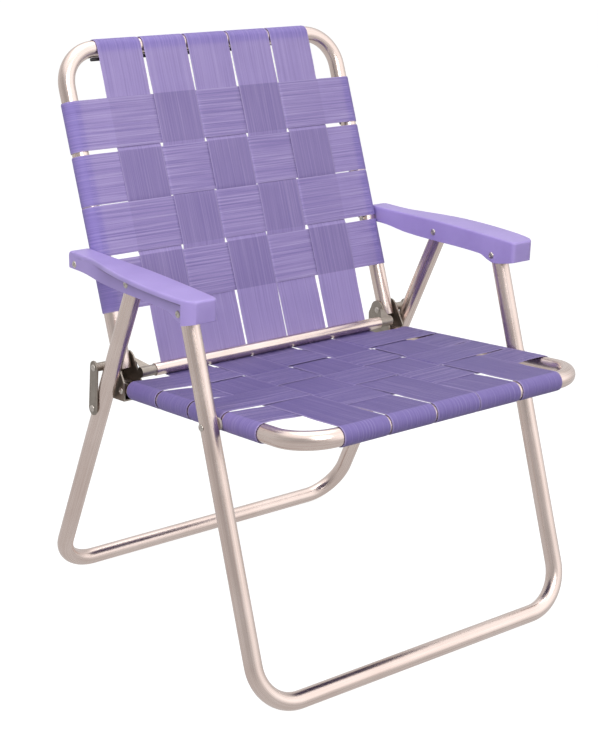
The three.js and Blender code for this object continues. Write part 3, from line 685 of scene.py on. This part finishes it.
# A thin dark rod inside the back's long straps, just under the top bar
topRod = {"from": -203.5, "to": 106.0, "radius": 2.5, "below": 16.0, "lip": 0.6, "sides": 20}
profile = brokenRims(topRod["from"], topRod["to"], topRod["radius"], topRod["lip"])
rings = turnedRings(side["backBar"] - backUp * topRod["below"], profile, topRod["sides"])
obj = newObject("topRod", ringMesh(rings, capEnds=True), darkNylon)
finish(obj, "back_frame", "nylon_washer", "top_rod")
print("webbing and rod made")


arm = {
    "ahead": 47.8, "behind": 16.2, "depth": 40, "wall": 2.3, "topWall": 3, "overhang": 20.8, "lip": 7.5,
    "block": 19, "corner": 6, "innerFace": 266.25, "outerFace": 298.2, "edge": 3.4, "lipEdge": 1.0,
    "blockEdge": 0.6, "endEdge": 3.2, "footEdge": 1.2, "rearCorner": 2.0, "steps": 110,
    "hiddenRise": 0.3, "shadeDrops": (1.2, 5.0), "shadeFrom": 0.5,
    "frontMarks": (0.12, 0.4, 0.8, 1.3, 2.0, 2.8, 4.2, 5.2, 6.4), "rearMarks": (0.12, 0.4, 0.8, 1.3, 2.8),
}
# The armrest's side view and plan: share along it from the front, share of its depth or overhang
armTopShares = [
    (0, 0.735), (0.033, 0.752), (0.08, 0.751), (0.268, 0.724), (0.469, 0.675), (0.67, 0.586),
    (0.871, 0.49), (0.974, 0.452), (1, 0.42),
]
armFootShares = [
    (0, -0.03), (0.053, -0.15), (0.127, -0.27), (0.159, -0.217), (0.216, -0.071), (0.725, -0.22),
    (0.869, -0.16), (1, -0.205),
]
armPlanShares = [
    (0, 0.1), (0.012, 0.36), (0.035, 0.6), (0.07, 0.74), (0.13, 0.87), (0.22, 0.96), (0.32, 1),
    (0.469, 0.9), (0.612, 0.6), (0.727, 0.24), (0.828, 0), (1, 0),
]
armSpan = (side["armRearPivot"] - side["armFrontPivot"]).length
armLength = arm["ahead"] + armSpan + arm["behind"]
armBack = (side["armRearPivot"] - side["armFrontPivot"]).normalized()
armUp = sideVector(-armBack.z, armBack.y)


# A smooth line through share points, with no overshoot
def shareAt(table, share):
    share = min(max(share, table[0][0]), table[-1][0])
    slopes = [(b[1] - a[1]) / (b[0] - a[0]) for a, b in zip(table, table[1:])]
    tangents = [slopes[0]]
    for p, q in zip(slopes, slopes[1:]):
        tangents.append(0 if p * q <= 0 else 2 * p * q / (p + q))
    tangents.append(slopes[-1])
    for i, (a, b) in enumerate(zip(table, table[1:])):
        if share <= b[0]:
            gap = b[0] - a[0]
            t = (share - a[0]) / gap
            return ((2 * t ** 3 - 3 * t ** 2 + 1) * a[1] + (t ** 3 - 2 * t ** 2 + t) * gap * tangents[i]
                    + (3 * t ** 2 - 2 * t ** 3) * b[1] + (t ** 3 - t ** 2) * gap * tangents[i + 1])
    return table[-1][1]


# One closed loop of (x, rise) corners, each rounded with the same number of points
def roundedLoop(corners, radii, steps=4):
    loop = []
    count = len(corners)
    for i, (x, z) in enumerate(corners):
        before, after = corners[i - 1], corners[(i + 1) % count]
        here = Vector((x, z))
        toBefore, toAfter = Vector(before) - here, Vector(after) - here
        radius = min(radii[i], toBefore.length * 0.49, toAfter.length * 0.49)
        a = here + toBefore.normalized() * radius if toBefore.length > 0 else here
        b = here + toAfter.normalized() * radius if toAfter.length > 0 else here
        for k in range(steps + 1):
            t = k / steps
            loop.append(a * (1 - t) ** 2 + here * 2 * t * (1 - t) + b * t ** 2)
    return loop


# How far a rounded edge of this radius has drawn in, some way from its end
def rounding(distance, radius):
    if distance >= radius:
        return 0.0
    return radius - math.sqrt(max(0, radius ** 2 - (radius - distance) ** 2))


def armSection(share, hollow, block):
    along = armLength * share
    fromEnd = min(along, armLength - along)
    top = arm["depth"] * shareAt(armTopShares, share) - rounding(fromEnd, arm["endEdge"])
    foot = arm["depth"] * shareAt(armFootShares, share) + rounding(fromEnd, arm["footEdge"])
    out = arm["overhang"] * shareAt(armPlanShares, share)
    inner = arm["innerFace"] + rounding(along, arm["corner"])
    inner += rounding(armLength - along, arm["rearCorner"])
    outer = arm["outerFace"]
    wide = outer + max(out, 0.05)
    lipFoot = foot if block else max(top - arm["lip"], foot + 0.1)
    wallX = wide - 0.02 if block else outer
    roof = top - arm["topWall"] if hollow else foot + 0.02
    roomIn, roomOut = arm["innerFace"] + arm["wall"], outer - arm["wall"]
    # Painted shade on the wall under the lip: full from the lip to a little below the part the lip hides,
    # then fading towards the foot, stronger where the lip overhangs more
    hidden = lipFoot - out * arm["hiddenRise"]
    darkTo, fadeTo = (max(hidden - drop, foot) for drop in arm["shadeDrops"])
    edge = arm["edge"]
    lipShadeShare = smooth(out / arm["overhang"] / arm["shadeFrom"]) * (not block)
    lipEdge, wallEdge = (arm["blockEdge"], 0) if block else (arm["lipEdge"], 0.5)
    corners = [
        (inner, foot, 0.5, 0), (inner, top, edge, 0), (wide, top, edge, 0), (wide, lipFoot, lipEdge, 0),
        (wallX, lipFoot, wallEdge, lipShadeShare), (wallX, darkTo, 0, lipShadeShare), (wallX, fadeTo, 0, lipShadeShare * 0.25),
        (wallX, foot, wallEdge, 0), (roomOut, foot, 0.4, 0), (roomOut, roof, 0.8, 0),
        (roomIn, roof, 0.8, 0), (roomIn, foot, 0.4, 0),
    ]
    loop = roundedLoop([(x, z) for x, z, _, _ in corners], [radius for _, _, radius, _ in corners])
    shades = [(shade, 0, 0, 1) for _, _, _, shade in corners for _ in range(len(loop) // len(corners))]
    return loop, shades


def armrestMesh(name, sign):
    wallShare, blockShare = arm["wall"] / armLength, arm["block"] / armLength
    marks = sorted(set(
        [i / arm["steps"] for i in range(arm["steps"] + 1)] + [d / armLength for d in arm["frontMarks"]]
        + [1 - d / armLength for d in arm["rearMarks"]]
    ))
    breaks = (wallShare, blockShare, 1 - wallShare)
    marks = [m for m in marks if all(abs(m - b) >= 0.0035 for b in breaks)]
    sections = [(m, wallShare < m < 1 - wallShare, m < blockShare) for m in marks]
    hair = 1e-5
    sections += [
        (wallShare - hair, False, True), (wallShare, True, True), (blockShare - hair, True, True),
        (blockShare, True, False), (1 - wallShare, True, False), (1 - wallShare + hair, False, False),
    ]
    sections.sort(key=lambda item: item[0])
    rings, tones = [], []
    for share, hollow, block in sections:
        origin = side["armFrontPivot"] + armBack * (armLength * share - arm["ahead"])
        loop, shades = armSection(share, hollow, block)
        rings.append([origin + armUp * point.y + acrossX * sign * point.x for point in loop])
        tones.append(shades)
    bm = ringMesh(rings, capEnds=True, paintedShadeRows=tones)
    bmesh.ops.remove_doubles(bm, verts=bm.verts, dist=0.00002)
    bmesh.ops.triangulate(bm, faces=[f for f in bm.faces if len(f.verts) > 4])
    return newObject(name, bm, plastic, sharpAt=34)


bothSides = {"left": -1, "right": 1}
for sideName, sign in bothSides.items():
    obj = armrestMesh("armrest" + sideName.capitalize(), sign)
    finish(obj, "armrest_" + sideName, "lilac_plastic", "armrest_" + sideName)
print("armrests made")

# Turned rings on the pivots, with a bore for the rivet: from x to x, outer radius, broken rim
turnedPieces = [
    ("pivotSpacer", "backPivot", (267.3, 295.3, 6.5, 0.6), zinc, "zinc_steel", "pivot_spacer_"),
    ("legWasher", "legPivot", (266.1, 269.0, 9.0, 0.5), paleNylon, "nylon_washer", "leg_pivot_washer_"),
]
turnedShape = {"bore": 3.3, "sides": 36}
for sideName, sign in bothSides.items():
    for name, point, (x0, x1, radius, rim), material, slot, node in turnedPieces:
        bore = turnedShape["bore"]
        profile = [(x0, bore)] + brokenRims(x0, x1, radius, rim) + [(x1, bore)]
        rings = turnedRings(side[point], [(x * sign, r) for x, r in profile], turnedShape["sides"])
        obj = newObject(name + sideName.capitalize(), ringMesh(rings, joinEnds=True), material)
        finish(obj, "seat_frame", slot, node + sideName)

link = {"inner": 295.6, "thickness": 3.0, "halfWidth": 10.5, "edge": 0.7, "endSteps": 22,
        "groove": ((2.0, 0), (2.5, 0.5), (3.3, 0.5), (3.8, 0))}


# A flat bar with round ends, broken rims and a groove pressed along the rim of its outer face
def linkMesh(name, sign):
    a, b = side["backPivot"], side["linkPin"]
    heading = math.atan2((b - a).z, (b - a).y)
    steps, width = link["endSteps"], link["halfWidth"]
    rim = []
    for centre, first in ((a, heading + math.pi / 2), (b, heading - math.pi / 2)):
        turns = [first + math.pi * i / steps for i in range(steps + 1)]
        rim += [(centre, sideVector(math.cos(turn), math.sin(turn))) for turn in turns]
    outerFace = link["inner"] + link["thickness"]
    layers = brokenRims(link["inner"], outerFace, width, link["edge"])
    layers += [(outerFace - sink, width - back) for back, sink in link["groove"]]
    rings = [[c + n * w + acrossX * sign * x for c, n in rim] for x, w in layers]
    return newObject(name, ringMesh(rings, capEnds=True), zinc)


for sideName, sign in bothSides.items():
    obj = linkMesh("link" + sideName.capitalize(), sign)
    finish(obj, "link_" + sideName, "zinc_steel", "link_" + sideName)


def applyModifiers(obj):
    bpy.context.view_layer.update()
    graph = bpy.context.evaluated_depsgraph_get()
    mesh = bpy.data.meshes.new_from_object(obj.evaluated_get(graph))
    obj.modifiers.clear()
    obj.data = mesh


bracketEdges = {"roll": 0.5, "segments": 2, "rollAbove": 40, "flatBelow": 2, "sharpAt": 30}


# The pressed brackets keep their CAD shape; a copy gets rolled edges
def rolledCopy(node, name, look):
    bm = bmesh.new()
    bm.from_mesh(bpy.data.objects[node].data)
    bmesh.ops.remove_doubles(bm, verts=bm.verts, dist=0.00002)
    flat = math.radians(look["flatBelow"])
    bmesh.ops.dissolve_limit(bm, angle_limit=flat, verts=bm.verts, edges=bm.edges)
    obj = newObject(name, bm, zinc, sharpAt=look["sharpAt"], outward=False)
    modifier = obj.modifiers.new("rolledEdges", "BEVEL")
    modifier.width = look["roll"] * mm
    modifier.segments = look["segments"]
    modifier.limit_method = "ANGLE"
    modifier.angle_limit = math.radians(look["rollAbove"])
    modifier.harden_normals = False
    applyModifiers(obj)
    return obj


for sideName in bothSides:
    obj = rolledCopy("bracket_" + sideName, "bracket" + sideName.capitalize(), bracketEdges)
    finish(obj, "seat_frame", "zinc_steel", "bracket_" + sideName)
print("brackets, links and spacers made")


rivet = {"shank": 3.0, "head": 5.2, "height": 2.4, "sides": 24, "recess": 1.5}
screw = {"shank": 1.6, "head": 4.2, "height": 1.9, "sides": 20, "recess": 1.3, "sunk": 6, "beforeEnd": 19}


# A domed head that stands on the plane z = 0, with the hole that the broken-off mandrel leaves
def headMesh(name, size):
    radius, height, recess, sides = size["head"], size["height"], size["recess"], size["sides"]
    profile = [(0, -0.3), (radius * 0.94, -0.3), (radius, 0.05)]
    steps = 6
    for i in range(1, steps):
        turn = math.pi / 2 * i / steps
        profile.append((radius * math.cos(turn) * 0.999, height * math.sin(turn) ** 0.9))
    profile = [p for p in profile if p[1] <= 0.1 or p[0] > recess + 0.3]
    profile += [(recess + 0.25, height), (recess, height - 0.12)]
    profile += [(recess * 0.8, height - 0.8), (0, height - 0.8)]
    turns = fullTurn(sides)
    bm = ringMesh([[Vector((r * math.cos(a), r * math.sin(a), z)) for a in turns] for r, z in profile])
    bmesh.ops.remove_doubles(bm, verts=bm.verts, dist=0.000001)
    return newObject(name, bm, rivetMetal, sharpAt=42)


# Heads and shanks on points: each point is a rivet's inner end, its length runs along its "way"
def fastenerTree(name):
    tree = bpy.data.node_groups.new(name, "GeometryNodeTree")
    face = tree.interface
    face.new_socket("Geometry", in_out="INPUT", socket_type="NodeSocketGeometry")
    for label, kind in (("Head", "NodeSocketObject"), ("Shank radius", "NodeSocketFloat"),
                        ("Both ends", "NodeSocketBool"), ("Material", "NodeSocketMaterial")):
        face.new_socket(label, in_out="INPUT", socket_type=kind)
    face.new_socket("Geometry", in_out="OUTPUT", socket_type="NodeSocketGeometry")
    add = partial(addNode, tree)
    start = add("NodeGroupInput", out=None).outputs
    attribute, align, scale = "GeometryNodeInputNamedAttribute", "FunctionNodeAlignRotationToVector", "SCALE"
    way = add(attribute, {"Name": "way"}, data_type="FLOAT_VECTOR")
    length = add(attribute, {"Name": "length"}, data_type="FLOAT")
    facing = add(align, {"Vector": way}, axis="Z")
    back = add("VectorMath", {0: way, "Scale": -1.0}, operation=scale)
    facingBack = add(align, {"Vector": back}, axis="Z")
    spin = add("FunctionNodeRandomValue", {2: 0.0, 3: 6.28, "Seed": 5}, 1, data_type="FLOAT")
    spinTurn = add("FunctionNodeAxisAngleToRotation", {"Axis": (0, 0, 1), "Angle": spin})
    turned = add("FunctionNodeRotateRotation", {"Rotation": facing, "Rotate By": spinTurn},
                 rotation_space="LOCAL")
    points = add("GeometryNodeMeshToPoints", {"Mesh": start["Geometry"]})
    reach = add("VectorMath", {0: way, "Scale": length}, operation=scale)
    farPoints = add("GeometryNodeSetPosition", {"Geometry": points, "Offset": reach})
    head = add("GeometryNodeObjectInfo", {"Object": start["Head"]}, "Geometry")
    outer = add("GeometryNodeInstanceOnPoints", {
        "Points": farPoints, "Instance": head, "Rotation": turned,
    })
    inner = add("GeometryNodeInstanceOnPoints", {
        "Points": points, "Instance": head, "Rotation": facingBack, "Selection": start["Both ends"],
    })
    shank = add("GeometryNodeMeshCylinder", {
        "Vertices": 20, "Side Segments": 1, "Radius": start["Shank radius"], "Depth": 1.0,
    })
    raised = add("GeometryNodeTransform", {"Geometry": shank, "Translation": (0, 0, 0.5)})
    size = add("CombineXYZ", {"X": 1.0, "Y": 1.0, "Z": length})
    shanks = add("GeometryNodeInstanceOnPoints", {
        "Points": points, "Instance": raised, "Rotation": facing, "Scale": size,
    })
    joined = add("GeometryNodeJoinGeometry", out=None)
    for made in (shanks, inner, outer):
        tree.links.new(made, joined.inputs[0])
    real = add("GeometryNodeRealizeInstances", {"Geometry": joined.outputs[0]})
    dressed = add("GeometryNodeSetMaterial", {"Geometry": real, "Material": start["Material"]})
    add("NodeGroupOutput", {"Geometry": dressed})
    return tree


# Makes one body's rivets or screws: places are (inner end, way, length)
def fasteners(name, places, head, shankRadius, bothEnds):
    mesh = bpy.data.meshes.new(name)
    mesh.from_pydata([tuple(point * mm) for point, _, _ in places], [], [])
    ways = mesh.attributes.new("way", "FLOAT_VECTOR", "POINT")
    ways.data.foreach_set("vector", [value for _, way, _ in places for value in way])
    lengths = mesh.attributes.new("length", "FLOAT", "POINT")
    lengths.data.foreach_set("value", [length * mm for _, _, length in places])
    obj = bpy.data.objects.new(name, mesh)
    bpy.context.scene.collection.objects.link(obj)
    modifier = obj.modifiers.new("fasteners", "NODES")
    modifier.node_group = fastenerNodes
    values = {"Head": head, "Shank radius": shankRadius * mm, "Both ends": bothEnds, "Material": rivetMetal}
    for item in fastenerNodes.interface.items_tree:
        if item.in_out == "INPUT" and item.name in values:
            modifier[item.identifier] = values[item.name]
    applyModifiers(obj)
    if not obj.data.materials:
        obj.data.materials.append(rivetMetal)
    return obj


fastenerNodes = fastenerTree("fastenersOnPoints")
rivetHead = headMesh("rivetHead", rivet)
screwHead = headMesh("screwHead", screw)

# Each rivet: where it is in the side view, from which x to which x, its node's name
frameX, legOut = tube["frameHalfWidth"], tube["legHalfWidth"] + tube["radius"]
frameIn = frameX - tube["radius"]
cheek = 13.1 + 2.4  # a bracket's half gap round the seat tube, and its sheet
wallIn, wallOut = arm["innerFace"], arm["outerFace"]
linkIn, linkOut = link["inner"], link["inner"] + link["thickness"]
rivetTable = {
    "front_leg": [("legPivot", frameIn, legOut, "leg_pivot_rivet")],
    "seat_frame": [("backPivot", frameX - cheek, linkOut, "back_pivot_rivet"),
                   ("fixing", frameX - cheek, frameX + cheek, "bracket_rivet")],
    "armrest": [("armRearPivot", frameIn, wallOut, "armrest_rear_rivet"),
                ("rearLegPivot", wallIn, wallOut, "armrest_middle_rivet"),
                ("armFrontPivot", wallIn, wallOut, "armrest_front_rivet")],
    "link": [("linkPin", linkIn, linkOut, "link_rivet")],
}
fixingForward = 20  # from the hinge end of the seat tube to the bracket's rivet
side["fixing"] = side["seatHinge"] + seatForward * fixingForward
for body, rows in rivetTable.items():
    oneEach = body in ("armrest", "link")
    groups = {body + "_" + s: [s] for s in bothSides} if oneEach else {body: list(bothSides)}
    for bodyName, names in groups.items():
        places = [(side[point] + acrossX * bothSides[s] * x0, acrossX * bothSides[s], x1 - x0)
                  for point, x0, x1, _ in rows for s in names]
        first, *rest = bodyName.split("_")
        label = first + "".join(part.capitalize() for part in rest) + "Rivets"
        obj = fasteners(label, places, rivetHead, rivet["shank"], body != "link")
        finish(obj, bodyName, "rivet_metal", *["%s_%s" % (row[3], s) for row in rows for s in names])


# Screws that hold the strap ends, close to the end of each wrap
def wrapScrews(panel):
    turn = math.radians(strap["wrapTurn"] - screw["beforeEnd"])
    depth = wrapRadius + strap["thickness"] / 2 - screw["sunk"]
    end, half = tube["frameHalfWidth"], strap["width"] / 2
    ends = []
    for row, start in enumerate(panel["rowStarts"]):
        middle = panel["bar"] + panel["inward"] * (start + half)
        for x in (-end, end):
            ends.append((middle + acrossX * x + nearLean(panel, row, x), acrossX * (x / end)))
    for start in columnStarts:
        ends.append((panel["bar"] + acrossX * (start + half), -panel["inward"]))
    places = []
    for centre, outward in ends:
        out = outward * math.sin(turn) + panel["normal"] * math.cos(turn)
        places.append((centre + out * depth, out, screw["sunk"]))
    return places


for panelName, panel in panels.items():
    obj = fasteners(panelName + "StrapScrews", wrapScrews(panel), screwHead, screw["shank"], False)
    finish(obj, panel["body"], "rivet_metal")
for helper in (rivetHead, screwHead):
    bpy.data.objects.remove(helper)
print("rivets and screws made")


paperFloor = {"size": 30, "grey": 0.32, "glow": 0.9}


# White paper: it glows for the camera and takes the object's shadow
def floorPlane(name, look):
    bm = bmesh.new()
    bmesh.ops.create_grid(bm, x_segments=1, y_segments=1, size=look["size"] / 2)
    material, add = startMaterial("whitePaperFloor")
    rays = add("LightPath", out=None).outputs
    seen = rays["Is Camera Ray"]
    for other in ("Is Glossy Ray", "Is Transmission Ray"):
        seen = add("Math", {0: seen, 1: rays[other]}, operation="MAXIMUM")
    strength = add("Math", {0: seen, 1: look["glow"]}, operation="MULTIPLY")
    paper = add("BsdfDiffuse", {"Color": grey(look["grey"])})
    glow = add("Emission", {"Color": grey(1), "Strength": strength})
    both = add("AddShader", {0: paper, 1: glow})
    add("OutputMaterial", {"Surface": both})
    return newObject(name, bm, material)


def grey(level):
    return (level, level, level, 1)


floor = floorPlane("floor", paperFloor)
floor.visible_glossy = False  # the tubes mirror the studio, not the bare paper
floor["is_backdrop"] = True

# The studio that the metal mirrors: dim round the camera, a bright wall to its right, an even grey
# below eye level and a soft box overhead. Each stop of the ring is (turn, brightness), the turn in
# degrees from straight in front, where the camera stands at -37.
studio = {
    "turns": [(-180, 0.85), (-140, 0.72), (-100, 0.58), (-60, 0.5), (-30, 0.52), (-10, 0.7),
              (8, 1.15), (28, 1.6), (60, 1.5), (85, 1.05), (110, 0.75), (180, 0.85)],
    "below": 0.72, "above": 1.5, "eyeLevel": (-0.3, 0.15), "softbox": (0.58, 0.78), "diffuse": 0.38,
}
world = bpy.data.worlds.new("studio")
bpy.context.scene.world = world
world.use_nodes = True
world.node_tree.nodes.clear()
add = partial(addNode, world.node_tree)
paths = add("LightPath", out=None).outputs
seen = add("Math", {0: paths["Is Camera Ray"], 1: paths["Is Transmission Ray"]}, operation="MAXIMUM")
direction = add("TexCoord", out="Generated")
ways = add("SeparateXYZ", {"Vector": direction}, None).outputs
forward = add("Math", {0: ways["Y"], 1: -1.0}, operation="MULTIPLY")
turn = add("Math", {0: ways["X"], 1: forward}, operation="ARCTAN2")
turnShare = add("MapRange", {"Value": turn, "From Min": -math.pi, "From Max": math.pi})
ring = add("ValToRGB", {"Fac": turnShare}, stops=[
    ((angle + 180) / 360, grey(bright)) for angle, bright in studio["turns"]])
low, high = studio["eyeLevel"]
raised = add("MapRange", {"Value": ways["Z"], "From Min": low, "From Max": high})
around = add("Mix", {"Factor": raised, "A": grey(studio["below"]), "B": ring}, 2, data_type="RGBA")
low, high = studio["softbox"]
aloft = add("MapRange", {"Value": ways["Z"], "From Min": low, "From Max": high})
glossy = add("Mix", {"Factor": aloft, "A": around, "B": grey(studio["above"])}, 2, data_type="RGBA")
unseen = add("Mix", {
    "Factor": paths["Is Glossy Ray"], "A": grey(studio["diffuse"]), "B": glossy,
}, 2, data_type="RGBA")
shown = add("Mix", {"Factor": seen, "A": unseen, "B": grey(1)}, 2, data_type="RGBA")
sky = add("Background", {"Color": shown, "Strength": 1.0})
add("OutputWorld", {"Surface": sky})

lamps = {
    "key": {"from": (-0.8, -2.7, 2.5), "size": 1.6, "power": 46, "glossy": True},
    "fill": {"from": (-2.7, -0.9, 1.8), "size": 1.4, "power": 34, "glossy": False},
    "top": {"from": (0.2, 0.4, 3.2), "size": 2.0, "power": 22, "glossy": True},
}
target = Vector((0, 0.03, 0.42))
for name, look in lamps.items():
    light = bpy.data.lights.new(name, "AREA")
    light.size = look["size"]
    light.energy = look["power"]
    lamp = bpy.data.objects.new(name, light)
    lamp.location = look["from"]
    lamp.visible_glossy = look["glossy"]
    lamp.rotation_euler = (target - lamp.location).to_track_quat("-Z", "Y").to_euler()
    bpy.context.scene.collection.objects.link(lamp)

view = {
    "azimuth": -36.647, "elevation": 16.417, "distance": 2.3582, "focal": 1559.95,
    "centre": (301.16, 325.06), "roll": 0.3814, "target": (0, 0.03522, 0.43572), "frame": (598, 729),
}


def placeCamera():
    a, e = math.radians(view["azimuth"]), math.radians(view["elevation"])
    back = Vector((math.sin(a) * math.cos(e), -math.cos(a) * math.cos(e), math.sin(e)))
    right = (-back).cross(Vector((0, 0, 1))).normalized()
    up = right.cross(-back)
    roll = math.radians(view["roll"])
    cos, sin = math.cos(roll), math.sin(roll)
    right, up = (right * cos + up * sin, up * cos - right * sin)
    data = bpy.data.cameras.new("camera")
    width, height = view["frame"]
    data.sensor_width = 36
    data.lens = view["focal"] * 36 / height
    data.shift_x = (width / 2 - view["centre"][0]) / height
    data.shift_y = (view["centre"][1] - height / 2) / height
    camera = bpy.data.objects.new("camera", data)
    place = Vector(view["target"]) + back * view["distance"]
    camera.matrix_world = Matrix((
        (right.x, up.x, back.x, place.x), (right.y, up.y, back.y, place.y),
        (right.z, up.z, back.z, place.z), (0, 0, 0, 1),
    ))
    bpy.context.scene.collection.objects.link(camera)
    bpy.context.scene.camera = camera


placeCamera()
bpy.context.scene.view_settings.view_transform = "Standard"
print("stage, light and camera made")

plainBox = lambda box: [[float(v) for v in corner] for corner in box]
{"cad": plainBox(cadBox), "visual": plainBox(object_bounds())}
